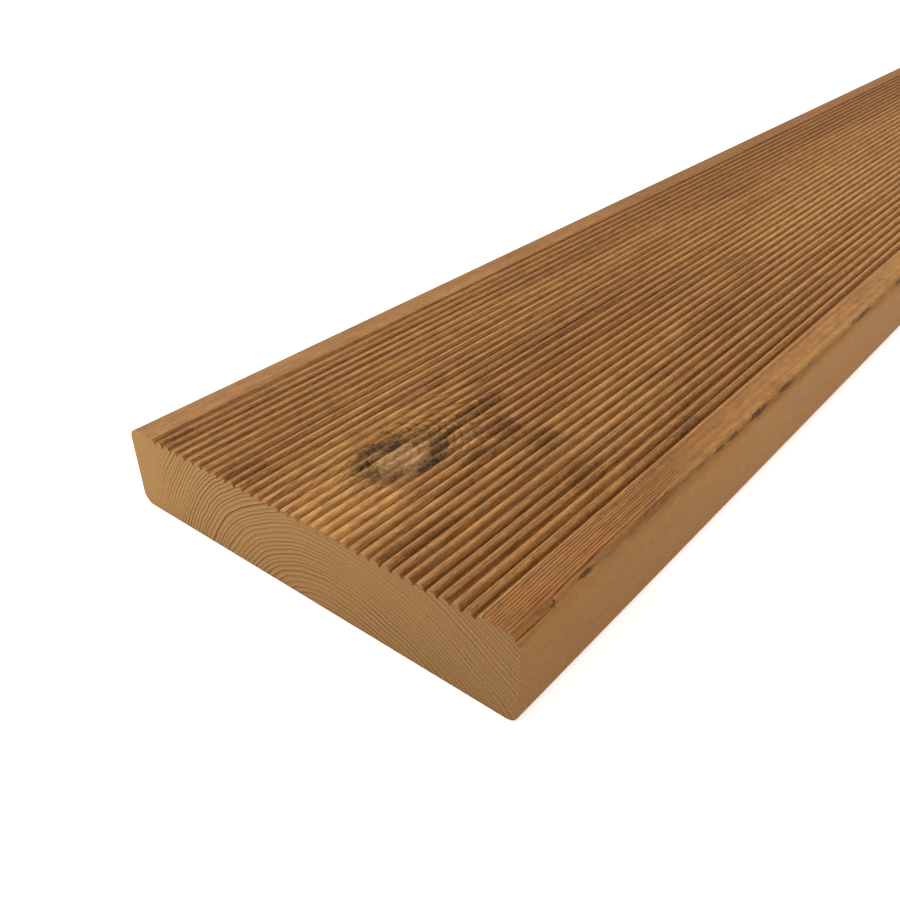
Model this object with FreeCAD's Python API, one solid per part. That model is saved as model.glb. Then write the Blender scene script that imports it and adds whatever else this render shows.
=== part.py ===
# Ribbed decking board, planed from one piece of thermally modified pine
# Units are millimetres. X is the width, Y the length, Z is up, and the walking face is at the top.
# The origin is at the middle of the underside.

import FreeCAD, Part
import math
import os

from FreeCAD import Vector

# Stock size
board_length = 2400.0
board_width = 140.0
board_thickness = 26.0

# Rounded long edges, called arrises
top_arris_radius = 3.5
bottom_arris_radius = 3.5

# Fine ribs of the walking face: narrow grooves with a round bottom and eased lips
# The plain margin runs from each edge of the board to the middle of the first groove
plain_margin = 12.25
groove_pitch = 3.5
groove_depth = 1.4
groove_bottom_radius = 0.35
groove_lip_radius = 0.8
groove_flank_angle = math.radians(24.0)

# Splinter torn from the top arris, at the corner of the -Y end and the +X edge
# Its facet gets shallower from the sawn end towards the blunt step where the splinter broke off
chip_length = 14.0
chip_depth = 0.45
chip_step = 0.2

# How far a cutting shape runs past the faces that it cuts
cut_overrun = 1.0

half_width = board_width / 2
half_length = board_length / 2
groove_count = 1 + round((board_width - 2 * plain_margin) / groove_pitch)


def section_point(x, z):
    """A point of the section, which stands in the XZ plane at the -Y end."""
    return Vector(x, -half_length, z)


def line(start, end):
    return Part.LineSegment(section_point(*start), section_point(*end)).toShape()


def arc(centre, radius, first_angle, last_angle):
    """An arc of the section; angles are in radians from +X towards +Z."""
    cx, cz = centre

    def on_arc(angle):
        return section_point(cx + radius * math.cos(angle), cz + radius * math.sin(angle))

    middle_angle = (first_angle + last_angle) / 2
    return Part.Arc(on_arc(first_angle), on_arc(middle_angle), on_arc(last_angle)).toShape()


def groove_sizes():
    """Works out one groove from its driving sizes.

    Gives the height of the bottom arc's centre above the underside, and the half width of the mouth,
    measured to where the eased lips run into the flat crests of the ribs.
    """
    bottom_centre_z = board_thickness - groove_depth + groove_bottom_radius
    both_radii = groove_bottom_radius + groove_lip_radius
    straight_rise = board_thickness - groove_lip_radius - bottom_centre_z + both_radii * math.sin(groove_flank_angle)
    flank_length = straight_rise / math.cos(groove_flank_angle)
    half_mouth = both_radii * math.cos(groove_flank_angle) + flank_length * math.sin(groove_flank_angle)
    return bottom_centre_z, half_mouth


def groove_edges(centre_x):
    """The edges of one groove, drawn from its right lip to its left one."""
    bottom_centre_z, half_mouth = groove_sizes()
    lip_z = board_thickness - groove_lip_radius
    lean = groove_flank_angle

    def flank_ends(side):
        cos_lean = math.cos(lean)
        sin_lean = math.sin(lean)
        top = (
            centre_x + side * (half_mouth - groove_lip_radius * cos_lean),
            lip_z + groove_lip_radius * sin_lean,
        )
        bottom = (
            centre_x + side * groove_bottom_radius * cos_lean,
            bottom_centre_z - groove_bottom_radius * sin_lean,
        )
        return top, bottom

    right_top, right_bottom = flank_ends(+1)
    left_top, left_bottom = flank_ends(-1)
    return [
        arc((centre_x + half_mouth, lip_z), groove_lip_radius, math.pi / 2, math.pi - lean),
        line(right_top, right_bottom),
        arc((centre_x, bottom_centre_z), groove_bottom_radius, -lean, lean - math.pi),
        line(left_bottom, left_top),
        arc((centre_x - half_mouth, lip_z), groove_lip_radius, lean, math.pi / 2),
    ]


def walking_face_edges():
    """The top of the section from right to left: plain margins outside, ribs and grooves between them."""
    half_mouth = groove_sizes()[1]
    first_groove_x = (groove_count - 1) * groove_pitch / 2
    edges = []
    crest_start_x = half_width - top_arris_radius
    for number in range(groove_count):
        centre_x = first_groove_x - number * groove_pitch
        edges.append(line((crest_start_x, board_thickness), (centre_x + half_mouth, board_thickness)))
        edges += groove_edges(centre_x)
        crest_start_x = centre_x - half_mouth
    edges.append(line((crest_start_x, board_thickness), (top_arris_radius - half_width, board_thickness)))
    return edges


def board_section():
    """The whole planed section as one face: underside, edges, arrises and ribbed walking face."""
    top_z = board_thickness - top_arris_radius
    low_z = bottom_arris_radius
    top_x = half_width - top_arris_radius
    low_x = half_width - bottom_arris_radius
    edges = [
        line((-low_x, 0), (low_x, 0)),
        arc((low_x, low_z), bottom_arris_radius, -math.pi / 2, 0),
        line((half_width, low_z), (half_width, top_z)),
        arc((top_x, top_z), top_arris_radius, 0, math.pi / 2),
    ]
    edges += walking_face_edges()
    edges += [
        arc((-top_x, top_z), top_arris_radius, math.pi / 2, math.pi),
        line((-half_width, top_z), (-half_width, low_z)),
        arc((-low_x, low_z), bottom_arris_radius, math.pi, 3 * math.pi / 2),
    ]
    return Part.Face(Part.Wire(edges))


def torn_splinter():
    """The piece missing from the arris: all that lies outside a facet at 45 degrees, up to its blunt step.

    The outline is run out of the board a little on its way, which makes the facet shallower at the step.
    """
    arris_gap = top_arris_radius * (math.sqrt(2) - 1)
    reach = (arris_gap + chip_depth) * math.sqrt(2)
    run_out = (chip_depth - chip_step) / math.sqrt(2)
    leg = reach + 2 * cut_overrun
    start_y = -half_length - cut_overrun
    corner_x = half_width + cut_overrun
    corner_z = board_thickness + cut_overrun
    outline = Part.makePolygon(
        [
            Vector(corner_x, start_y, corner_z),
            Vector(corner_x, start_y, corner_z - leg),
            Vector(corner_x - leg, start_y, corner_z),
            Vector(corner_x, start_y, corner_z),
        ]
    )
    return Part.Face(outline).extrude(Vector(run_out, chip_length + cut_overrun, run_out))


def decking_board():
    planed = board_section().extrude(Vector(0, board_length, 0))
    return planed.cut(torn_splinter())


os.makedirs("parts", exist_ok=True)
board = decking_board()
if board.ShapeType == "Compound" and len(board.Solids) == 1:
    board = board.Solids[0]
box = board.BoundBox
print("grooves:", groove_count, "of", round(2 * groove_sizes()[1], 2), "mm at the mouth")
print("decking_board:", board.ShapeType, "valid", board.isValid(), "volume", round(board.Volume / 1e6, 4), "litres")
print("size", round(box.XLength, 3), round(box.YLength, 3), round(box.ZLength, 3))
board.exportStep(os.path.join("parts", "decking_board.step"))
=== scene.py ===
# %% [markdown]
# # A ribbed decking board
#
# This lesson dresses one decking board of thermally modified pine: a plank 140 mm wide and 26 mm thick
# whose walking face was run through a moulder, which left fine ribs along its whole length. The board is
# one piece of wood, so it is one mesh. It is modelled at its real size with Blender's own edit tools, and
# its wood is a material worked out in three dimensions, so that the rings on the sawn end run on into the
# lines of the faces, as they do in a real plank.
#
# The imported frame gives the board's box. All lengths in this lesson are in metres, and `mm` is a
# thousandth of one.

import bmesh
import bpy
import math
from functools import partial
from mathutils import Matrix, Vector


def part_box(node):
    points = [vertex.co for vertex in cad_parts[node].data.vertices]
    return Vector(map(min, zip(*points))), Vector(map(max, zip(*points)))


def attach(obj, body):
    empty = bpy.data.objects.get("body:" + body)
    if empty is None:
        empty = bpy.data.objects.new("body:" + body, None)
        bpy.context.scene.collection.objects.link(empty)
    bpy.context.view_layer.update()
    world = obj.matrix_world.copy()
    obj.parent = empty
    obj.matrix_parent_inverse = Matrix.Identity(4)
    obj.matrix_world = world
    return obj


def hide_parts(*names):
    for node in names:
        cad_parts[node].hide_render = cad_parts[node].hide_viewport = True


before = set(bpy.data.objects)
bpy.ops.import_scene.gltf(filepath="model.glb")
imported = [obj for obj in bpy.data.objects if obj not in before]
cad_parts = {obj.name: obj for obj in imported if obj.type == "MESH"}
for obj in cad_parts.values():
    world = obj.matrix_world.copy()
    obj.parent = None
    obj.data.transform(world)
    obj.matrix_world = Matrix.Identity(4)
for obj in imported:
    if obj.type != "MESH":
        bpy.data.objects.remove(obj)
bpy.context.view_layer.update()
board_low, board_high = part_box("decking_board")

mm = 0.001
near_y = board_low.y
top_z = board_high.z
half_width = board_high.x
board_length = board_high.y - board_low.y
print("board box in mm:", [round(side / mm, 2) for side in board_high - board_low])

# %% [markdown]
# ## Sizes of the ribs
#
# A moulder's cutter block leaves the same small groove again and again. One groove has a round bottom,
# flanks that lean out by 24 degrees and lips that are eased, so that the ribs don't splinter under shoes.
# Only these few sizes are stated here, and everything else about the section is worked out from them.

# %% Sizes of the section
arris_radius = 3.5 * mm
plain_margin = 12.25 * mm
groove_pitch = 3.5 * mm
groove_depth = 1.4 * mm
groove_bottom_radius = 0.35 * mm
groove_lip_radius = 0.8 * mm
flank_lean = math.radians(24.0)

groove_count = 1 + round(2 * (half_width - plain_margin) / groove_pitch)
ribbed_width = (groove_count + 1) * groove_pitch
print(groove_count, "grooves over", round(ribbed_width / mm, 2), "mm")

# %% [markdown]
# ## Selecting by place
#
# By hand, an edge is clicked. In a script it is found by where it lies. These helpers enter edit mode and
# select the edges or faces that a small test says yes to.

# %% Helpers for edit mode
touch = 0.01 * mm


def same(a, b):
    return abs(a - b) < touch


def edit_mode(piece):
    bpy.context.view_layer.objects.active = piece
    bpy.ops.object.mode_set(mode="EDIT")
    bpy.ops.mesh.select_mode(type="EDGE")


def select_edges(piece, wanted):
    """Selects the edges whose two ends pass wanted(first, second), and returns how many there are."""
    bpy.ops.mesh.select_all(action="DESELECT")
    mesh = bmesh.from_edit_mesh(piece.data)
    found = [edge for edge in mesh.edges if wanted(edge.verts[0].co, edge.verts[1].co)]
    for edge in found:
        edge.select_set(True)
    bmesh.update_edit_mesh(piece.data)
    return len(found)


def runs_along(a, b):
    """True for an edge that runs along the board."""
    return same(a.x, b.x) and same(a.z, b.z) and not same(a.y, b.y)


# %% [markdown]
# ## The walking face
#
# A groove could be cut with a boolean, but 34 of them would leave a ragged mesh. It is cleaner to start
# from a strip with a line down the middle of each groove, and to bevel: once to open a V, once more, with
# the V pushed down, to round its bottom, and last to ease its lips. A bevel works on all 34 grooves in
# one go. The strip is short for now, because a short strip is quick to edit.

# %% A strip with a line down each groove
first_slab = 14.0 * mm

bpy.ops.object.select_all(action="DESELECT")
bpy.ops.mesh.primitive_grid_add(
    x_subdivisions=groove_count + 1, y_subdivisions=1, size=1, location=(0, 0, 0)
)
board = bpy.context.object
board.name = "ribbed_board"
edit_mode(board)
bpy.ops.mesh.select_all(action="SELECT")
bpy.ops.transform.resize(value=(ribbed_width, first_slab, 1), center_override=(0, 0, 0))
bpy.ops.transform.translate(value=(0, near_y + first_slab / 2, top_z))


def groove_offset(x):
    """How far x lies from the middle of the nearest groove."""
    place = x / groove_pitch + (groove_count - 1) / 2
    return abs(place - round(place)) * groove_pitch


def is_groove_middle(a, b):
    inside = abs(a.x) < ribbed_width / 2 - touch
    return runs_along(a, b) and inside and groove_offset(a.x) < touch


print("groove lines:", select_edges(board, is_groove_middle))

# %% Open the V, round its bottom and ease its lips
apex_depth = groove_depth - groove_bottom_radius + groove_bottom_radius / math.sin(flank_lean)
half_mouth = apex_depth * math.tan(flank_lean)
bottom_reach = groove_bottom_radius / math.tan(flank_lean)
lip_reach = groove_lip_radius * math.tan((math.pi / 2 - flank_lean) / 2)


def is_lip(a, b):
    return runs_along(a, b) and same(groove_offset(a.x), half_mouth) and same(a.z, top_z)


def bevel(reach, segments):
    bpy.ops.mesh.bevel(
        offset=reach, offset_type="OFFSET", segments=segments, clamp_overlap=False, affect="EDGES"
    )


bevel(half_mouth, 2)
select_edges(board, is_groove_middle)
bpy.ops.transform.translate(value=(0, 0, -apex_depth))
bevel(bottom_reach, 2)
select_edges(board, is_lip)
bevel(lip_reach, 3)

# A bevel in two segments cuts the round bottom too deep, so its middle line is lifted to the true depth.
select_edges(board, is_groove_middle)
bottom_z = min(vert.co.z for vert in bmesh.from_edit_mesh(board.data).verts)
bpy.ops.transform.translate(value=(0, 0, top_z - groove_depth - bottom_z))
print("mouth of a groove:", round(2 * (half_mouth + lip_reach) / mm, 2), "mm")

# %% [markdown]
# ## Margins, edges and underside
#
# The rest of the section is plain. The outer edges of the strip are extruded out over the margins, down
# the long sides and in under the board, where the two halves meet and are merged. The four corners are
# then bevelled to the arris radius.

# %% Extrude the outline round and bevel its corners
margin_left = half_width - ribbed_width / 2
underside_steps = 4
outline_moves = [(0.25 * margin_left, 0), (0.25 * margin_left, 0), (0.5 * margin_left, 0), (0, -top_z)]
outline_moves += [(-half_width / underside_steps, 0)] * underside_steps

for side in (1, -1):
    select_edges(board, lambda a, b: runs_along(a, b) and same(a.x, side * ribbed_width / 2))
    for out, up in outline_moves:
        bpy.ops.mesh.extrude_edges_move(TRANSFORM_OT_translate={"value": (side * out, 0, up)})
bpy.ops.mesh.select_all(action="SELECT")
bpy.ops.mesh.remove_doubles(threshold=touch)


def is_corner(a, b):
    return runs_along(a, b) and same(abs(a.x), half_width) and (same(a.z, top_z) or same(a.z, 0))


print("corners:", select_edges(board, is_corner))
bevel(arris_radius, 8)

# %% [markdown]
# ## The full length
#
# The open end of the short section is extruded along the board in a few long zones, and each zone is
# subdivided crosswise. The rings of edges lie close together round the knot, where the ribs will be torn,
# and far apart further on, where the ribs run straight. That keeps the piece under 200,000 triangles.

# %% Extrude and subdivide the zones
zones = [
    (first_slab, 1.4 * mm),
    (20 * mm, 1.2 * mm),
    (58 * mm, 0.65 * mm),
    (150 * mm, 2.3 * mm),
    (250 * mm, 5.0 * mm),
    (700 * mm, 45.0 * mm),
    (board_length, 170.0 * mm),
]

zone_start = zones[0][0]
for zone_end, spacing in zones[1:]:
    start_y = near_y + zone_start
    select_edges(board, lambda a, b: same(a.y, start_y) and same(b.y, start_y))
    bpy.ops.mesh.extrude_edges_move(TRANSFORM_OT_translate={"value": (0, zone_end - zone_start, 0)})
    zone_start = zone_end

zone_start = 0.0
for zone_end, spacing in zones:
    zone_ends = {round((near_y + zone_start) / touch), round((near_y + zone_end) / touch)}
    select_edges(board, lambda a, b: {round(a.y / touch), round(b.y / touch)} == zone_ends)
    cuts = round((zone_end - zone_start) / spacing) - 1
    bpy.ops.mesh.subdivide(number_cuts=cuts)
    zone_start = zone_end

# %% Close the sawn ends
for end_y in (near_y, near_y + board_length):
    select_edges(board, lambda a, b: same(a.y, end_y) and same(b.y, end_y))
    bpy.ops.mesh.edge_face_add()
bpy.ops.mesh.select_all(action="SELECT")
bpy.ops.mesh.normals_make_consistent(inside=False)
bpy.ops.object.mode_set(mode="OBJECT")
bpy.ops.object.transform_apply(location=True, rotation=True, scale=True)
print("points:", len(board.data.vertices))

# %% [markdown]
# ## The torn splinter
#
# A thin splinter has come off the upper right arris at the sawn end, with a blunt step where it broke. The
# cut is made with a cutter, as with a chisel. Its sole starts as a short grid that is roughened by a
# Displace modifier. Then it is stretched along the grain, which draws the bumps out into torn fibres.

# %% The sole of the cutter, with torn fibres
splinter_length = 14.0 * mm
splinter_depth = 0.45 * mm
step_depth = 0.2 * mm
sole_width = 6.0 * mm
overrun = 2.0 * mm
sole_length = splinter_length + overrun
stretch = 8


def roughen(piece, name, lump, height, group="", direction="Z", level=0.5):
    """Moves a piece's points by soft noise of a given lump size, and applies it."""
    noise = bpy.data.textures.new(name, "CLOUDS")
    noise.noise_scale = lump
    modifier = piece.modifiers.new(name, "DISPLACE")
    modifier.texture = noise
    modifier.strength = height
    modifier.mid_level = level
    modifier.direction = direction
    modifier.vertex_group = group
    bpy.context.view_layer.objects.active = piece
    bpy.ops.object.modifier_apply(modifier=name)


bpy.ops.object.select_all(action="DESELECT")
bpy.ops.mesh.primitive_grid_add(x_subdivisions=20, y_subdivisions=16, size=1, location=(0, 0, 0))
cutter = bpy.context.object
cutter.name = "splinter_cutter"
edit_mode(cutter)
bpy.ops.mesh.select_all(action="SELECT")
bpy.ops.transform.resize(value=(sole_width, sole_length / stretch, 1), center_override=(0, 0, 0))
bpy.ops.object.mode_set(mode="OBJECT")
roughen(cutter, "torn fibres", 0.7 * mm, 0.16 * mm)

# %% Thicken it, tilt it to 45 degrees and cut
facet_depth = arris_radius * (math.sqrt(2) - 1) + (splinter_depth + step_depth) / 2
taper = math.atan2(splinter_depth - step_depth, splinter_length)
corner = Vector((half_width, near_y, top_z))
inwards = facet_depth / math.sqrt(2)
sole_middle = corner + Vector((-inwards, splinter_length / 2, -inwards))

edit_mode(cutter)
bpy.ops.mesh.select_all(action="SELECT")
bpy.ops.transform.resize(value=(1, stretch, 1), center_override=(0, 0, 0))
bpy.ops.transform.translate(value=(0, -overrun / 2, 0))
bpy.ops.mesh.extrude_region_move(TRANSFORM_OT_translate={"value": (0, 0, 2 * splinter_length)})
bpy.ops.mesh.select_all(action="SELECT")
bpy.ops.mesh.normals_make_consistent(inside=False)
bpy.ops.object.mode_set(mode="OBJECT")
tilt = Matrix.Rotation(math.radians(45), 4, "Y") @ Matrix.Rotation(taper, 4, "X")
cutter.data.transform(Matrix.Translation(sole_middle) @ tilt)

cut = board.modifiers.new("splinter", "BOOLEAN")
cut.operation = "DIFFERENCE"
cut.solver = "EXACT"
cut.object = cutter
bpy.context.view_layer.objects.active = board
bpy.ops.object.modifier_apply(modifier="splinter")
bpy.data.objects.remove(cutter)
print("points after the cut:", len(board.data.vertices))

# %% [markdown]
# ## The knot and the sawn rim
#
# The planer tore the ribs where the hard knot met its knives, and the saw left the ribs' ends a little
# ragged. Both are relief that the eye can see, so they are made in the mesh. A vertex group says where,
# with its weight falling off in steps, as with a soft brush. Where the ribs are torn they are first
# smoothed, and then noise lowers them. Nothing is raised, so the board stays as thick as it was.

# %% Relief in the mesh
knot_middle = (2.8, 37.5)
knot_reach = (10.3, 16.5)
knot_rims = [(1.3, 0.15), (1.15, 0.45), (1.0, 1.0), (0.6, 0.55), (0.4, 0.35)]
walking_face_depth = 2.0 * mm
smooth_under = math.radians(40)


def brush(piece, name, weight, wanted):
    """Gives the points that pass wanted(point) a weight in a vertex group, and leaves them selected."""
    group = piece.vertex_groups.get(name) or piece.vertex_groups.new(name=name)
    edit_mode(piece)
    bpy.ops.mesh.select_mode(type="VERT")
    bpy.ops.mesh.select_all(action="DESELECT")
    mesh = bmesh.from_edit_mesh(piece.data)
    for vert in mesh.verts:
        vert.select_set(wanted(vert.co))
    mesh.select_flush(True)
    bmesh.update_edit_mesh(piece.data)
    piece.vertex_groups.active = group
    bpy.context.scene.tool_settings.vertex_group_weight = weight
    bpy.ops.object.vertex_group_assign()


def knot_distance(point):
    """0 in the middle of the knot and 1 on its rim."""
    across = (point.x / mm - knot_middle[0]) / knot_reach[0]
    along = ((point.y - near_y) / mm - knot_middle[1]) / knot_reach[1]
    return math.hypot(across, along)


for rim, weight in knot_rims:
    brush(board, "knot", weight, lambda p: p.z > top_z - walking_face_depth and knot_distance(p) < rim)
    if weight == 1.0:
        bpy.ops.mesh.vertices_smooth(factor=0.5, repeat=6)
bpy.ops.object.mode_set(mode="OBJECT")
roughen(board, "torn knot", 1.1 * mm, 0.6 * mm, group="knot", level=1.0)


def on_rim(point):
    """True on the ribs' ends at the near sawn end."""
    on_ribs = abs(point.x) < ribbed_width / 2
    return on_ribs and same(point.y, near_y) and point.z > top_z - walking_face_depth


brush(board, "rim", 1.0, on_rim)
bpy.ops.object.mode_set(mode="OBJECT")
roughen(board, "ragged rim", 0.6 * mm, 0.2 * mm, group="rim", level=1.0)
bpy.ops.object.shade_smooth_by_angle(angle=smooth_under)
triangles = sum(len(face.vertices) - 2 for face in board.data.polygons)
print("triangles:", triangles)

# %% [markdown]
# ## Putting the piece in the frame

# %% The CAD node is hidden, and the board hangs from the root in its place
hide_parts("decking_board")
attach(board, "root")

# %% [markdown]
# ## The wood
#
# Thermally modified pine is pine that was baked at about 200 degrees. It is a warm brown all the way
# through, and it is planed and left raw, so it is matt with a faint sheen on the backs of the ribs.
#
# A trunk is a stack of cones, one for each year. In a plank cut from it, those cones are nearly cylinders
# round the pith, which here lies below the board. The distance from the pith, bent a little by slow
# unevenness, tells the year of any point in the wood. The field is three-dimensional, so the rings of the
# sawn end, the lines of the faces and the scallops that the grooves cut into them all agree. A picture
# wrapped round the board could not do that.
#
# The colour is painted in coats, and each coat has a share, from 0 for none to 1 for cover. Most shares
# come from Map Range, whose five inputs are a value, the two ends of its range, and the result at each end.

# %% One helper for nodes, one for colours and one for a new material
def add_node(tree, kind, values=(), out=0, **settings):
    """Adds one node and gives back one of its outputs.

    The values are a list for the inputs in order, or a dictionary by name or number. A value that is
    another node's output is linked, and any other value is set.
    """
    made = tree.nodes.new("ShaderNode" + kind)
    for name, value in settings.items():
        setattr(made, name, value)
    pairs = values.items() if isinstance(values, dict) else enumerate(values)
    for socket, value in pairs:
        if isinstance(value, bpy.types.NodeSocket):
            tree.links.new(value, made.inputs[socket])
        else:
            made.inputs[socket].default_value = value
    return made.outputs[out] if made.outputs else made


def linear(hex_colour):
    """An sRGB hex colour as the linear numbers that a shader wants."""
    channels = [int(hex_colour[i:i + 2], 16) / 255 for i in (1, 3, 5)]
    return [c / 12.92 if c <= 0.04045 else ((c + 0.055) / 1.055) ** 2.4 for c in channels] + [1.0]


def start_material(name):
    """A material with an empty node tree, and the function that adds nodes to it."""
    material = bpy.data.materials.new(name)
    material.use_nodes = True
    material.node_tree.nodes.clear()
    return material, partial(add_node, material.node_tree)


# %% The place in the wood, in millimetres
def wood_place(add):
    """The place in the board in millimetres, with y counted from the near sawn end."""
    place = add("TexCoord", out="Object")
    in_mm = add("VectorMath", {0: place, "Scale": 1 / mm}, operation="SCALE")
    return add("VectorMath", [in_mm, (0, -near_y / mm, 0)], operation="ADD")


def uneven(add, place, lump, detail=1.0, swing=1.0):
    """A smooth random swing, from -swing to swing, whose lumps are lump = (x, y, z) millimetres."""
    scaled = add("VectorMath", [place, tuple(1 / size for size in lump)], operation="MULTIPLY")
    noise = add("TexNoise", {"Vector": scaled, "Scale": 1.0, "Detail": detail})
    return add("MapRange", [noise, 0.25, 0.75, -swing, swing], clamp=False)


def ragged(add, place, reach):
    """The place pushed about by small noise, which tears the edge of whatever is drawn with it."""
    push = add("TexNoise", {"Vector": place, "Scale": 0.4, "Detail": 3.0}, out=1)
    push = add("VectorMath", [push, (0.5, 0.5, 0.5)], operation="SUBTRACT")
    push = add("VectorMath", [push, reach], operation="MULTIPLY")
    return add("VectorMath", [place, push], operation="ADD")


# %% Where something is drawn: ovals, spindles and lists of them
def scaled_to(add, place, middle, reach):
    """The place seen from a mark's middle, with the mark's reach as its unit."""
    shifted = add("VectorMath", [place, (*middle, 0)], operation="SUBTRACT")
    return add("VectorMath", [shifted, (1 / reach[0], 1 / reach[1], 0)], operation="MULTIPLY")


def oval(add, place, middle, reach):
    """The distance from an upright oval column: 0 on its axis and 1 on its rim."""
    return add("VectorMath", [scaled_to(add, place, middle, reach)], operation="LENGTH", out=1)


def spindle(add, place, middle, reach):
    """The distance from a long mark with pointed ends: 0 in its middle and 1 on its rim."""
    across, along, up = add("SeparateXYZ", [scaled_to(add, place, middle, reach)]).node.outputs
    width = add("Math", [across], operation="ABSOLUTE")
    return add("Math", [along, along, width], operation="MULTIPLY_ADD")


def marks(add, place, places, shape=oval, core=0.6, rim=1.2):
    """The strongest of several soft marks at each point."""
    strongest = 0.0
    for middle, reach, strength in places:
        distance = shape(add, place, middle, reach)
        mark = add("MapRange", [distance, rim, core, 0.0, strength], interpolation_type="SMOOTHSTEP")
        strongest = add("Math", [mark, strongest], operation="MAXIMUM")
    return strongest


def painted(add, ground, coats):
    """Lays coats of colour over a ground, each as thick as its share says."""
    for share, colour in coats:
        ground = add("Mix", {0: share, 6: ground, 7: colour}, out=2, data_type="RGBA")
    return ground


# %% [markdown]
# ## Years of growth
#
# The numbers below were read off the sawn end: where the rings' centre lies under the board, how wide a
# year is, and that the rings are flatter on the right than on the left. The years get narrower outwards:
# a ring's width is young_width - narrowing * radius, and the logarithm below adds those widths up. Round
# the knot the years swell up along the branch, which is why the grain bows round it on the walking face.

# %% The field of years
# Lengths are in millimetres, in the wood's own place, and a wave is a lump size and a swing.
pith_x = 14.0
pith_z = -31.0
young_width = 1.9
narrowing = 0.0115
flat_side = 0.8
knot_swells = [((17.0, 30.0), 7.0), ((8.0, 13.0), 3.5)]
waves = [((60, 400, 60), 1.2), ((18, 260, 18), 0.45), ((7, 70, 7), 0.18), ((1.3, 14, 1.3), 0.07)]
good_and_bad_years = 2.6


def years_of_growth(add, place):
    """How many years of growth lie between the pith and a place in the wood."""
    x, y, z = add("SeparateXYZ", [place]).node.outputs
    across = add("Math", [x, pith_x], operation="SUBTRACT")
    left = add("Math", [across, 0.0], operation="MINIMUM")
    right = add("Math", [across, 0.0], operation="MAXIMUM")
    across = add("Math", [right, flat_side, left], operation="MULTIPLY_ADD")
    height = add("Math", [z, pith_z], operation="SUBTRACT")
    radius = add("VectorMath", [add("CombineXYZ", [across, height, 0.0])], operation="LENGTH", out=1)
    fortune = add("TexNoise", {"W": radius, "Scale": 0.13, "Detail": 1.0}, noise_dimensions="1D")
    radius = add("Math", [fortune, good_and_bad_years, radius], operation="MULTIPLY_ADD")
    for lump, swing in waves:
        radius = add("Math", [radius, uneven(add, place, lump, swing=swing)], operation="ADD")
    for reach, swell in knot_swells:
        distance = oval(add, place, knot_middle, reach)
        fading = add("Math", [add("Math", [distance, 2.0], operation="POWER"), -1.0], operation="MULTIPLY")
        fading = add("Math", [fading], operation="EXPONENT")
        radius = add("Math", [fading, -swell, radius], operation="MULTIPLY_ADD")
    width = add("Math", [radius, -narrowing, young_width], operation="MULTIPLY_ADD")
    width = add("Math", [width, math.e], operation="LOGARITHM")
    return add("Math", [width, -1 / narrowing], operation="MULTIPLY")


def late_wood(add, years, start):
    """The dark late wood, which starts at that part of each year: 0 in early wood, 1 in the dark line."""
    season = add("Math", [years], operation="FRACT")
    darkening = add("MapRange", [season, start, 0.85, 0.0, 1.0], interpolation_type="SMOOTHSTEP")
    year = add("Math", [years], operation="FLOOR")
    weather = add("TexWhiteNoise", {"W": year}, noise_dimensions="1D")
    strength = add("MapRange", [weather, 0.0, 1.0, 0.5, 1.0])
    frost = add("MapRange", [season, 0.93, 1.0, strength, 0.0], interpolation_type="SMOOTHSTEP")
    return add("Math", [darkening, frost], operation="MULTIPLY")


# %% [markdown]
# ## Planed faces
#
# On the planed faces the years show as lines along the board. The walking face is darker towards its left
# edge, where the years are cut steeply and lie close together. On the right margin the years are so
# narrow that each shows as a few fine lines. Between them the fibres make short fine streaks.

# %% Grain of the planed faces
def grain_coats(add, place, years):
    """The coats of colour that the years and the heartwood give, and changes of tone along the board."""
    x, y, z = add("SeparateXYZ", [place]).node.outputs

    # How strongly the late wood shows: less far back, on the margins and on the long edges.
    steep = add("MapRange", [x, -30.0, 5.0, 0.75, 0.8])
    far = add("MapRange", [y, 120.0, 300.0, steep, 0.5])
    inner = add("MapRange", [x, -61.0, -58.5, 0.15, far])
    margin = add("MapRange", [y, 40.0, 100.0, 0.15, 0.3])
    inner = add("MapRange", [x, 57.5, 60.0, inner, margin])
    face = add("MapRange", [x, 67.0, 69.6, inner, 0.2])
    late = add("Math", [late_wood(add, years, start=0.45), face], operation="MULTIPLY")

    # The darker heartwood widens from the right behind the knot, and fades out further back.
    heart_from = add("MapRange", [y, 40.0, 90.0, 26.0, -26.0])
    heart_depth = add("MapRange", [y, 170.0, 270.0, 0.38, 0.0])
    from_heart = add("Math", [x, heart_from], operation="SUBTRACT")
    heart = add("MapRange", [from_heart, 0.0, 14.0, 0.0, heart_depth])

    # Slow mottle, long lanes that darken the left, and short flushes that calm down behind the knot.
    mottle = uneven(add, place, (12, 65, 12), detail=2.0)
    brown = add("MapRange", [mottle, 0.0, -1.0, 0.0, 0.4])
    gold = add("MapRange", [mottle, 0.1, 1.1, 0.0, 0.3])
    lanes = uneven(add, place, (3.2, 130, 3.2), detail=1.0)
    lane_depth = add("MapRange", [x, -26.0, 0.0, 0.55, 0.2])
    lane = add("MapRange", [lanes, 0.1, 1.0, 0.0, lane_depth])
    flush = uneven(add, place, (1.6, 18, 1.6), detail=2.0)
    russet_depth = add("MapRange", [y, 60.0, 130.0, 0.55, 0.25])
    russet = add("MapRange", [flush, -0.1, 1.0, 0.0, russet_depth])
    honey_depth = add("MapRange", [y, 60.0, 130.0, 0.35, 0.15])
    honey = add("MapRange", [flush, -0.1, -1.1, 0.0, honey_depth])
    return [
        (heart, linear("#73431f")),
        (brown, linear("#6f4523")),
        (lane, linear("#5c3418")),
        (gold, linear("#b48341")),
        (russet, linear("#7d4726")),
        (honey, linear("#b98b4c")),
        (late, linear("#4a260c")),
    ]


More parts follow.
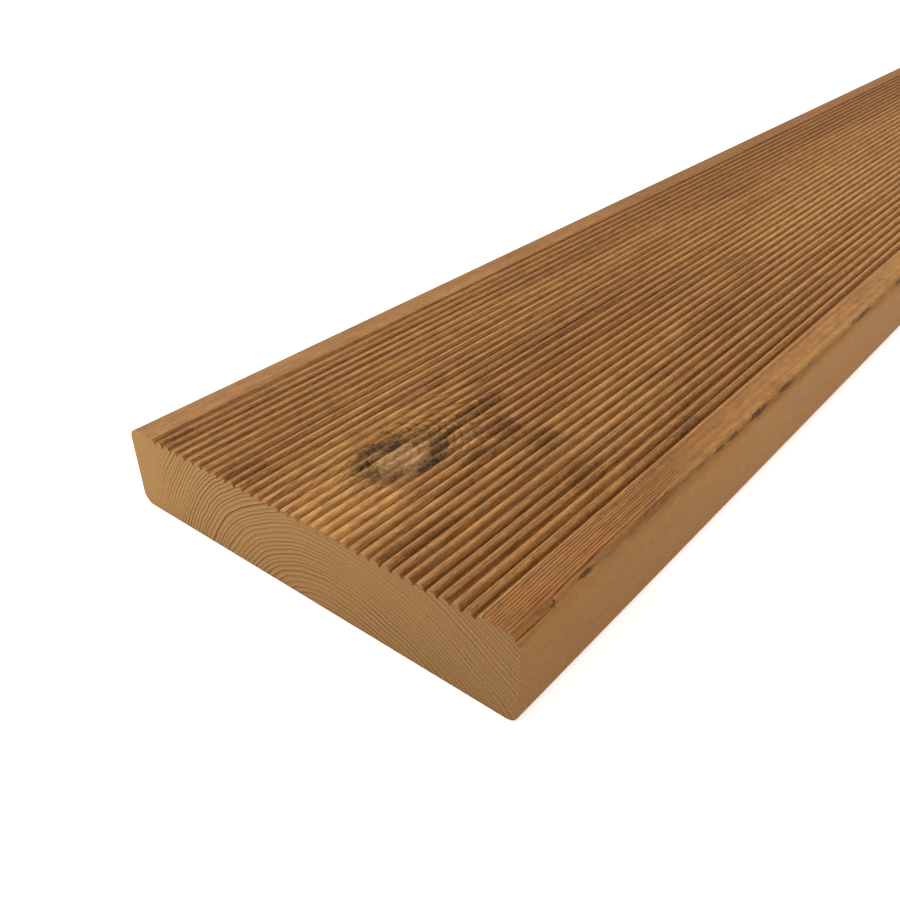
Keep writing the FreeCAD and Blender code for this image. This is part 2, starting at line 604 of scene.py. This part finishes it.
# %% Fibres and resin canals, the finest marks
def fibre_coats(add, place, colour):
    """The coats that single fibres, specks and the short dark dashes of resin canals give.

    They are strong on the ribs, which the cutter pressed and tore a little, and calm on the plain faces.
    A single fibre is 0.03 mm wide, too fine to show, so each streak stands for a bundle of about ten.
    """
    fibre = uneven(add, place, (0.28, 7, 0.28), detail=2.0)
    dark_fibre = add("MapRange", [fibre, 0.0, 1.0, 0.0, 0.45])
    pale_fibre = add("MapRange", [fibre, 0.0, -1.0, 0.0, 0.35])
    speck = uneven(add, place, (0.3, 1.5, 0.3), detail=2.0)
    pale_speck = add("MapRange", [speck, 0.1, 0.9, 0.0, 0.3])
    dark_speck = add("MapRange", [speck, -0.1, -0.9, 0.0, 0.3])
    canals = uneven(add, place, (0.45, 3.5, 0.45))
    canal = add("MapRange", [canals, 0.7, 1.0, 0.0, 0.6])
    coats = [
        (dark_fibre, linear("#663b17")),
        (pale_fibre, linear("#b78a51")),
        (pale_speck, linear("#bf945e")),
        (dark_speck, linear("#603719")),
        (canal, linear("#4a2810")),
    ]

    x, y, z = add("SeparateXYZ", [place]).node.outputs
    off_middle = add("Math", [x], operation="ABSOLUTE")
    calm = add("MapRange", [off_middle, 58.0, 62.0, 1.0, 0.4])
    return [(calm, painted(add, colour, coats))]


# %% Tones of the plain margins, and the fine lines of narrow years
lines_in_a_year = 3


def margin_coats(add, place, years):
    """The coats of the margins: both darken further back, and the left one along its outer edge.

    The right one has fine dark lines near the sawn end, which the grain then carries off the board.
    """
    x, y, z = add("SeparateXYZ", [place]).node.outputs
    turns = add("Math", [years, 2 * math.pi * lines_in_a_year], operation="MULTIPLY")
    wave = add("Math", [turns], operation="SINE")
    across = add("MapRange", [x, 55.0, 59.0, 0.0, 1.0])
    along = add("MapRange", [y, 60.0, 110.0, across, 0.0])
    edge = add("MapRange", [x, 67.5, 69.0, along, 0.0])
    line = add("MapRange", [wave, 0.1, 0.95, 0.0, edge])

    right_depth = add("MapRange", [y, 30.0, 110.0, 0.0, 0.18])
    right = add("MapRange", [x, 59.0, 61.5, 0.0, right_depth])
    left_depth = add("MapRange", [y, 60.0, 350.0, 0.34, 0.46])
    left = add("MapRange", [x, -59.0, -61.5, 0.0, left_depth])
    outside = add("MapRange", [x, -66.2, -68.5, 0.0, 0.5])
    return [
        (right, linear("#6b431b")),
        (left, linear("#6b4112")),
        (outside, linear("#5f4826")),
        (line, linear("#5a2c0e")),
    ]


# %% [markdown]
# ## Resin, stains and the knot
#
# Resin makes some places golden or amber, and beside the knot there are brown stains, broken up by the
# fibres. The knot itself is a branch cut across. It has a pale core with rings of its own, and round it a
# ring of torn grey-brown fibres with specks of dark bark. Each mark is an oval that is pushed about by
# noise.

# %% Places of the marks: middle and reach in millimetres, and strength
gold_marks = [
    ((7.0, 11.0), (15.0, 22.0), 0.75),
    ((-12.0, 36.0), (9.0, 30.0), 0.35),
    ((20.0, 128.0), (12.0, 40.0), 0.35),
    ((36.0, 90.0), (16.0, 30.0), 0.35),
    ((64.5, 180.0), (3.5, 110.0), 0.15),
    ((8.0, 560.0), (34.0, 350.0), 0.5),
]
amber_marks = [((13.0, 125.0), (13.0, 45.0), 0.35)]
stain_marks = [
    ((2.6, 71.0), (2.9, 12.0), 1.0),
    ((16.0, 66.0), (6.5, 7.0), 0.8),
    ((29.0, 68.5), (4.6, 7.0), 0.8),
    ((19.5, 51.0), (3.0, 7.0), 0.8),
    ((47.5, 60.0), (4.6, 7.0), 0.5),
    ((56.0, 98.0), (2.0, 9.0), 0.8),
    ((23.5, 38.0), (3.0, 9.0), 0.6),
    ((31.0, 14.0), (3.2, 12.0), 0.5),
    ((-18.0, 76.0), (2.5, 7.0), 0.5),
    ((-55.0, 5.0), (4.0, 7.0), 0.6),
    ((-24.0, 6.0), (5.0, 7.0), 0.5),
]
band_marks = [((-50.0, 540.0), (18.0, 400.0), 0.5), ((-44.0, 20.0), (18.0, 40.0), 0.15)]
bark_marks = [
    ((-6.4, 34.5), (1.6, 7.5), 0.85),
    ((-3.2, 40.5), (2.0, 5.5), 0.95),
    ((1.2, 44.0), (0.9, 2.2), 0.7),
    ((-1.8, 28.4), (1.6, 5.0), 0.95),
    ((2.9, 27.0), (1.8, 5.5), 1.0),
    ((7.2, 30.0), (1.5, 5.0), 0.75),
    ((10.5, 39.8), (2.5, 8.0), 1.0),
    ((7.4, 47.0), (2.2, 6.5), 0.8),
    ((4.8, 55.0), (1.5, 8.0), 0.8),
    ((10.6, 58.0), (1.2, 7.0), 0.5),
]
chatter_marks = [((13.0, 56.0), (7.0, 9.0), 0.5), ((-9.0, 50.0), (6.0, 6.0), 0.25)]


# %% Resin and stains
def stain_coats(add, place):
    """The coats of resin and stain, broken up by streaks because they soak in along the fibres."""
    torn = ragged(add, place, (5.0, 16.0, 0.0))
    streaks = uneven(add, place, (0.7, 6, 0.7), detail=2.0)
    resin = marks(add, torn, gold_marks)
    gold = add("MapRange", [streaks, -0.9, 0.7, 0.1, 1.0])
    gold = add("Math", [gold, resin], operation="MULTIPLY")
    dye = marks(add, torn, stain_marks)
    stain = add("MapRange", [streaks, 0.9, -0.6, 0.55, 1.0])
    stain = add("Math", [stain, dye], operation="MULTIPLY")
    return [
        (marks(add, torn, band_marks), linear("#73441f")),
        (gold, linear("#c49456")),
        (marks(add, torn, amber_marks), linear("#955a26")),
        (stain, linear("#47260f")),
    ]


# %% The knot
knot_ring_lines = 6.5
knot_core_middle = (4.0, 37.5)
knot_core_reach = (6.6, 11.5)


def knot_coats(add, place):
    """The coats of the knot: bent grain behind it, its pale core, the torn ring round that, and chatter.

    Chatter is the row of small ripples that the knives left where the grain round the knot rises steeply.
    """
    torn = ragged(add, place, (4.0, 8.0, 0.0))
    distance = oval(add, torn, knot_middle, knot_reach)
    bent = oval(add, ragged(add, place, (1.4, 3.5, 0.0)), knot_middle, knot_reach)
    turns = add("Math", [bent, 2 * math.pi * knot_ring_lines], operation="MULTIPLY")
    wave = add("Math", [turns], operation="SINE")
    shreds = uneven(add, place, (0.6, 2.2, 0.6), detail=3.0)
    breaks = uneven(add, place, (2.6, 7, 2.6), detail=1.0)

    x, y, z = add("SeparateXYZ", [place]).node.outputs
    behind = add("MapRange", [y, 30.0, 46.0, 0.0, 0.8])
    arcs_fade = add("MapRange", [distance, 1.9, 1.2, 0.0, behind])
    arcs = add("MapRange", [wave, 0.2, 0.9, 0.0, arcs_fade])

    core_distance = oval(add, torn, knot_core_middle, knot_core_reach)
    core = add("MapRange", [core_distance, 1.0, 0.6, 0.0, 0.8], interpolation_type="SMOOTHSTEP")
    streak = add("MapRange", [shreds, -0.1, 0.7, 0.0, add("Math", [core, 0.6], operation="MULTIPLY")])
    ring_in = add("MapRange", [core_distance, 0.7, 1.05, 0.0, 0.8], interpolation_type="SMOOTHSTEP")
    ring = add("MapRange", [distance, 1.15, 0.9, 0.0, ring_in], interpolation_type="SMOOTHSTEP")
    ring = add("MapRange", [breaks, 0.9, -0.4, 0.4, ring])
    inside = add("MapRange", [distance, 1.0, 0.8, 0.0, 0.35])
    own_rings = add("MapRange", [wave, 0.1, 0.9, 0.0, inside])
    shred = add("MapRange", [shreds, 0.0, 0.9, 0.0, ring])

    ripple = uneven(add, torn, (2.4, 1.3, 2.4), detail=3.0)
    chatter = marks(add, torn, chatter_marks)
    return [
        (arcs, linear("#643a1b")),
        (core, linear("#b58f63")),
        (streak, linear("#775736")),
        (ring, linear("#5c452e")),
        (shred, linear("#96774e")),
        (own_rings, linear("#5f462f")),
        (add("MapRange", [ripple, 0.0, 0.8, 0.0, chatter]), linear("#c89a60")),
        (add("MapRange", [ripple, -0.2, -0.9, 0.0, chatter]), linear("#5a3c22")),
    ]


def bark_coats(add, place):
    """The dark bark that grew into the knot's rim, broken up by pale shreds."""
    torn = ragged(add, place, (4.0, 8.0, 0.0))
    shreds = uneven(add, place, (0.45, 1.6, 0.45), detail=2.0)
    bark = add("MapRange", [shreds, 1.0, -0.2, 0.25, 1.0])
    bark = add("Math", [bark, marks(add, torn, bark_marks, core=0.3)], operation="MULTIPLY")
    return [(bark, linear("#35271a"))]


# %% [markdown]
# ## The rounded right edge
#
# Along the rounded edge the planer just touched the outside of the trunk. A row of dark spindles is left
# there, some with a grey patch behind them, with a dull smear between them and a pale fibrous band above.
# A hairline split runs from the sawn end to the splinter's step, drawn as a dark line of painted shade.
# All this is drawn on a strip that is laid round the corner, so that it keeps its width as the surface
# turns.

# %% Places of the marks round the corner
corner_marks = [
    ((-0.8, 27.4), (1.0, 3.6), 1.0),
    ((-0.5, 63.0), (0.7, 2.8), 0.5),
    ((-0.6, 83.5), (0.8, 3.2), 0.4),
    ((-0.4, 95.0), (1.0, 3.2), 0.85),
    ((-0.4, 103.0), (1.0, 4.0), 0.75),
    ((-0.6, 118.5), (1.3, 7.0), 0.95),
    ((-0.6, 140.0), (1.3, 6.5), 0.9),
    ((-0.8, 205.0), (1.3, 12.0), 0.85),
    ((-0.5, 247.0), (1.0, 6.0), 0.85),
    ((-0.5, 330.0), (1.0, 12.0), 0.7),
]
corner_greys = [
    ((-0.5, 35.5), (1.0, 8.5), 0.65),
    ((-1.0, 147.0), (0.9, 7.0), 0.4),
]
corner_smears = [
    ((-0.7, 68.0), (1.0, 55.0), 0.5),
    ((-0.4, 163.0), (1.0, 16.0), 0.5),
]
corner_lights = [
    ((-2.4, 100.0), (1.5, 45.0), 0.5),
    ((-2.2, 190.0), (1.6, 60.0), 0.45),
]
# The split is painted shade: a dark line along the crack and a dark hook at the step.
split_marks = [
    ((0.2, 5.0), (0.3, 9.0), 0.8),
    ((-0.3, 13.6), (0.4, 1.2), 0.8),
    ((-1.2, 14.5), (0.7, 0.5), 0.8),
]


def corner_coats(add, place):
    """The coats of the rounded edge, and the duller tone of the side below it."""
    x, y, z = add("SeparateXYZ", [place]).node.outputs

    # On the strip, x is 0 in the middle of the rounding, negative on the walking face, positive below.
    from_corner = add("Math", [x, z], operation="SUBTRACT")
    strip_x = add("Math", [from_corner, (half_width - top_z) / mm], operation="SUBTRACT")
    strip = add("CombineXYZ", [strip_x, y, 0.0])

    torn = ragged(add, strip, (1.6, 7.0, 0.0))
    streaks = uneven(add, place, (0.5, 5, 0.5), detail=2.0)
    feathers = add("MapRange", [uneven(add, strip, (0.35, 3, 1), detail=2.0), 0.6, -0.5, 0.55, 1.0])
    mark = marks(add, torn, corner_marks, shape=spindle, core=0.4)
    mark = add("Math", [feathers, mark], operation="MULTIPLY")
    grey = marks(add, torn, corner_greys, shape=spindle)
    grey = add("Math", [feathers, grey], operation="MULTIPLY")
    smear = add("MapRange", [streaks, -1.0, 0.8, 0.0, marks(add, torn, corner_smears, shape=spindle)])
    light = add("MapRange", [streaks, 0.8, -0.8, 0.0, marks(add, torn, corner_lights, shape=spindle)])

    # The fresh wood where the splinter broke off, up to its step.
    broken = add("MapRange", [y, splinter_length / mm, splinter_length / mm - 0.4, 0.0, 0.65])
    broken = add("MapRange", [strip_x, -3.2, -2.6, 0.0, broken])
    broken = add("MapRange", [strip_x, 0.6, 0.2, 0.0, broken])

    side = add("MapRange", [strip_x, 0.3, 2.4, 0.0, 0.8])
    dull = add("MapRange", [y, 0.0, 120.0, 0.4, 0.0])
    dull = add("MapRange", [strip_x, 0.3, 2.4, 0.0, dull])
    return [
        (side, linear("#93693b")),
        (dull, linear("#6c4a26")),
        (light, linear("#bb8e55")),
        (smear, linear("#735741")),
        (grey, linear("#6b5b44")),
        (mark, linear("#3d271b")),
        (broken, linear("#7f4f29")),
        # The split's dark line is painted shade.
        (marks(add, strip, split_marks, shape=spindle), linear("#3c2211")),
    ]


# %% Painted shade and light on the ribs' sides
ribs_end = 60.5


def ribbed_part(add, place):
    """1 on the ribs and grooves of the walking face, and 0 elsewhere."""
    x, y, z = add("SeparateXYZ", [place]).node.outputs
    off_middle = add("Math", [x], operation="ABSOLUTE")
    between = add("MapRange", [off_middle, ribs_end - 0.1, ribs_end + 0.1, 1.0, 0.0])
    return add("MapRange", [z, 23.0, 24.0, 0.0, between])


def painted_rib_shading_coats(add, place):
    """Painted shade on one side of each rib and painted light on the other, fading out towards the left.

    These tones are fitted to the photograph, which doesn't show what causes them.
    """
    x, y, z = add("SeparateXYZ", [place]).node.outputs
    turns = add("Math", [x, -2 * math.pi / (groove_pitch / mm)], operation="MULTIPLY")
    swing = add("Math", [turns], operation="SINE")
    fading_at = add("MapRange", [y, 20.0, 80.0, 22.0, -12.0])
    from_fading = add("Math", [x, fading_at], operation="SUBTRACT")
    held = add("MapRange", [from_fading, -12.0, 12.0, 0.0, ribbed_part(add, place)])
    swing = add("Math", [swing, held], operation="MULTIPLY")
    # The paler coat is painted light and the darker coat painted shade, following the ribs' pitch.
    return [
        (add("MapRange", [swing, 0.0, 1.0, 0.0, 0.13]), linear("#d0a068")),
        (add("MapRange", [swing, 0.0, -1.0, 0.0, 0.18]), linear("#43260f")),
    ]


# %% Painted warm light down in the grooves
def painted_groove_light_coats(add, place, colour):
    """Painted warm light down in the grooves, fitted to the photograph too: paler on the left and duller on
    the right.
    """
    x, y, z = add("SeparateXYZ", [place]).node.outputs
    depth = add("Math", [top_z / mm, z], operation="SUBTRACT")
    ribbed = ribbed_part(add, place)
    groove = add("MapRange", [depth, 0.25, 1.3, 0.0, ribbed], interpolation_type="SMOOTHSTEP")
    from_left = add("MapRange", [x, -45.0, -10.0, 0.0, 1.0])
    # The tint multiplies red and green by more than one: painted light that grows with depth in the
    # grooves.
    tints = {0: from_left, 6: (1.15, 1.06, 0.88, 1.0), 7: (1.08, 1.02, 0.87, 1.0)}
    tint = add("Mix", tints, out=2, data_type="RGBA")
    tinted = add("Mix", {0: 1.0, 6: colour, 7: tint}, out=2, data_type="RGBA", blend_type="MULTIPLY")
    return [(groove, tinted)]


# %% Thermally modified pine, planed: matt, warm brown, with darker lines and a soft sheen
def planed_pine():
    material, add = start_material("thermally modified pine, planed")
    place = wood_place(add)
    years = years_of_growth(add, place)
    colour = painted(add, linear("#a87641"), grain_coats(add, place, years))
    colour = painted(add, colour, margin_coats(add, place, years))
    colour = painted(add, colour, stain_coats(add, place))
    colour = painted(add, colour, knot_coats(add, place))
    colour = painted(add, colour, corner_coats(add, place))
    colour = painted(add, colour, fibre_coats(add, place, colour))
    colour = painted(add, colour, bark_coats(add, place))
    # Painted shade and light on the ribs' sides.
    colour = painted(add, colour, painted_rib_shading_coats(add, place))
    # Painted warm light down in the grooves.
    colour = painted(add, colour, painted_groove_light_coats(add, place, colour))
    fibre = uneven(add, place, (0.3, 5, 0.3), detail=3.0)
    bump = add("Bump", {"Strength": 0.6, "Distance": 0.08 * mm, "Height": fibre})
    shader_inputs = {"Base Color": colour, "Roughness": 0.6, "Specular IOR Level": 0.04, "Normal": bump}
    shader = add("BsdfPrincipled", shader_inputs)
    add("OutputMaterial", {"Surface": shader})
    return material


planed = planed_pine()
print(planed.name, len(planed.node_tree.nodes), "nodes")

# %% [markdown]
# ## Sawn ends
#
# Across the fibres a saw leaves a dull, slightly fuzzy face. The rings stand out on it as thin lines, and
# the wood between them is paler and yellower than on the planed faces.

# %% Thermally modified pine, sawn end grain: dull and pale, with thin ring lines and a fuzzy nap
def sawn_pine():
    material, add = start_material("thermally modified pine, sawn end grain")
    place = wood_place(add)
    x, y, z = add("SeparateXYZ", [place]).node.outputs
    years = years_of_growth(add, place)

    # The rings are clear on the left, blurred unevenly by the saw on the right, and faint at the left edge.
    clarity = add("MapRange", [uneven(add, place, (16, 16, 16)), -1.0, 1.0, 0.3, 0.95])
    clarity = add("MapRange", [x, -30.0, 5.0, 1.0, clarity])
    share = add("MapRange", [x, -65.0, -48.0, 0.2, clarity])
    late = add("Math", [late_wood(add, years, start=0.5), share], operation="MULTIPLY")
    early = add("MapRange", [add("Math", [years], operation="FRACT"), 0.0, 0.4, 0.3, 0.0])
    early = add("Math", [early, share], operation="MULTIPLY")

    # The end grows darker towards the right.
    tan = add("MapRange", [x, -60.0, 68.0, 0.0, 1.0])
    nap = uneven(add, place, (0.5, 0.5, 0.5), detail=3.0)
    pores = add("MapRange", [nap, 0.0, 1.0, 0.0, 0.4])
    pale = add("MapRange", [nap, 0.0, -1.0, 0.0, 0.3])
    coats = [
        (tan, linear("#84613b")),
        (early, linear("#bd9863")),
        (late, linear("#523218")),
        (pores, linear("#664524")),
        (pale, linear("#af8a58")),
    ]
    colour = painted(add, linear("#a07847"), coats)
    bump = add("Bump", {"Strength": 0.4, "Distance": 0.08 * mm, "Height": nap})
    shader_inputs = {"Base Color": colour, "Roughness": 0.8, "Specular IOR Level": 0.08, "Normal": bump}
    shader = add("BsdfPrincipled", shader_inputs)
    add("OutputMaterial", {"Surface": shader})
    return material


sawn = sawn_pine()
print(sawn.name, len(sawn.node_tree.nodes), "nodes")

# %% Give the long faces and the ends their materials
board.data.materials.append(planed)
board.data.materials.append(sawn)
end_faces = [face for face in board.data.polygons if abs(face.normal.y) > 0.99]
for face in end_faces:
    face.material_index = 1
print("sawn faces:", len(end_faces))

# %% [markdown]
# ## Floor, light and camera
#
# The board lies on a plain pale floor. The light is the soft light of a product studio: a bright surround,
# and one wide lamp high on the left, behind the sawn end. That lamp strikes the left flanks of the ribs
# and leaves their right flanks in shade, which is what lets the eye read the ribs at all.

# %% Floor, a light table of matt white acrylic: plain white, with only a faint shadow under the board
bpy.ops.object.select_all(action="DESELECT")
bpy.ops.mesh.primitive_plane_add(size=12, location=(0, 0, 0))
floor = bpy.context.object
floor.name = "floor"
floor_paint = bpy.data.materials.new("light table, matt white acrylic lit from below")
floor_paint.use_nodes = True
floor_shader = floor_paint.node_tree.nodes["Principled BSDF"]
floor_shader.inputs["Base Color"].default_value = linear("#f4f4f4")
floor_shader.inputs["Roughness"].default_value = 0.9
floor_shader.inputs["Specular IOR Level"].default_value = 0.1
floor_shader.inputs["Emission Color"].default_value = linear("#ffffff")
floor_shader.inputs["Emission Strength"].default_value = 0.46
floor.data.materials.append(floor_paint)

# %% Light
surround_strength = 1.02
lamp_strength = 2.85
lamp_from = Vector((-1.2, 0.35, 0.7))

world = bpy.data.worlds.new("studio surround")
world.use_nodes = True
world.node_tree.nodes["Background"].inputs["Color"].default_value = (1.0, 1.0, 1.0, 1.0)
world.node_tree.nodes["Background"].inputs["Strength"].default_value = surround_strength
bpy.context.scene.world = world

lamp_data = bpy.data.lights.new("wide soft lamp", "SUN")
lamp_data.energy = lamp_strength
lamp_data.angle = math.radians(50)
lamp = bpy.data.objects.new("wide soft lamp", lamp_data)
lamp.rotation_euler = lamp_from.to_track_quat("Z", "Y").to_euler()
bpy.context.scene.collection.objects.link(lamp)

bpy.context.scene.view_settings.view_transform = "Standard"

# %% Camera
# Its place, turn and focal length were fitted to the outline of the board in the photograph.
camera_azimuth = math.radians(40.469)
camera_elevation = math.radians(32.185)
camera_roll = math.radians(-1.388)
camera_from_end = Vector((150.43, -115.26, 160.65)) * mm
photo_side = 900
focal_length_in_pixels = 920.65
sensor_width = 36.0

right = Vector((math.cos(camera_azimuth), math.sin(camera_azimuth), 0))
back = Vector((
    math.sin(camera_azimuth) * math.cos(camera_elevation),
    -math.cos(camera_azimuth) * math.cos(camera_elevation),
    math.sin(camera_elevation),
))
up = back.cross(right)
rolled_right = math.cos(camera_roll) * right + math.sin(camera_roll) * up
rolled_up = math.cos(camera_roll) * up - math.sin(camera_roll) * right
turn = Matrix((rolled_right, rolled_up, back)).transposed()

camera_data = bpy.data.cameras.new("camera")
camera_data.sensor_width = sensor_width
camera_data.lens = sensor_width * focal_length_in_pixels / photo_side
camera_data.clip_start = 0.01
camera = bpy.data.objects.new("camera", camera_data)
camera.matrix_world = Matrix.Translation(Vector((0, near_y, 0)) + camera_from_end) @ turn.to_4x4()
bpy.context.scene.collection.objects.link(camera)
bpy.context.scene.camera = camera
print("lens:", round(camera_data.lens, 2), "mm")
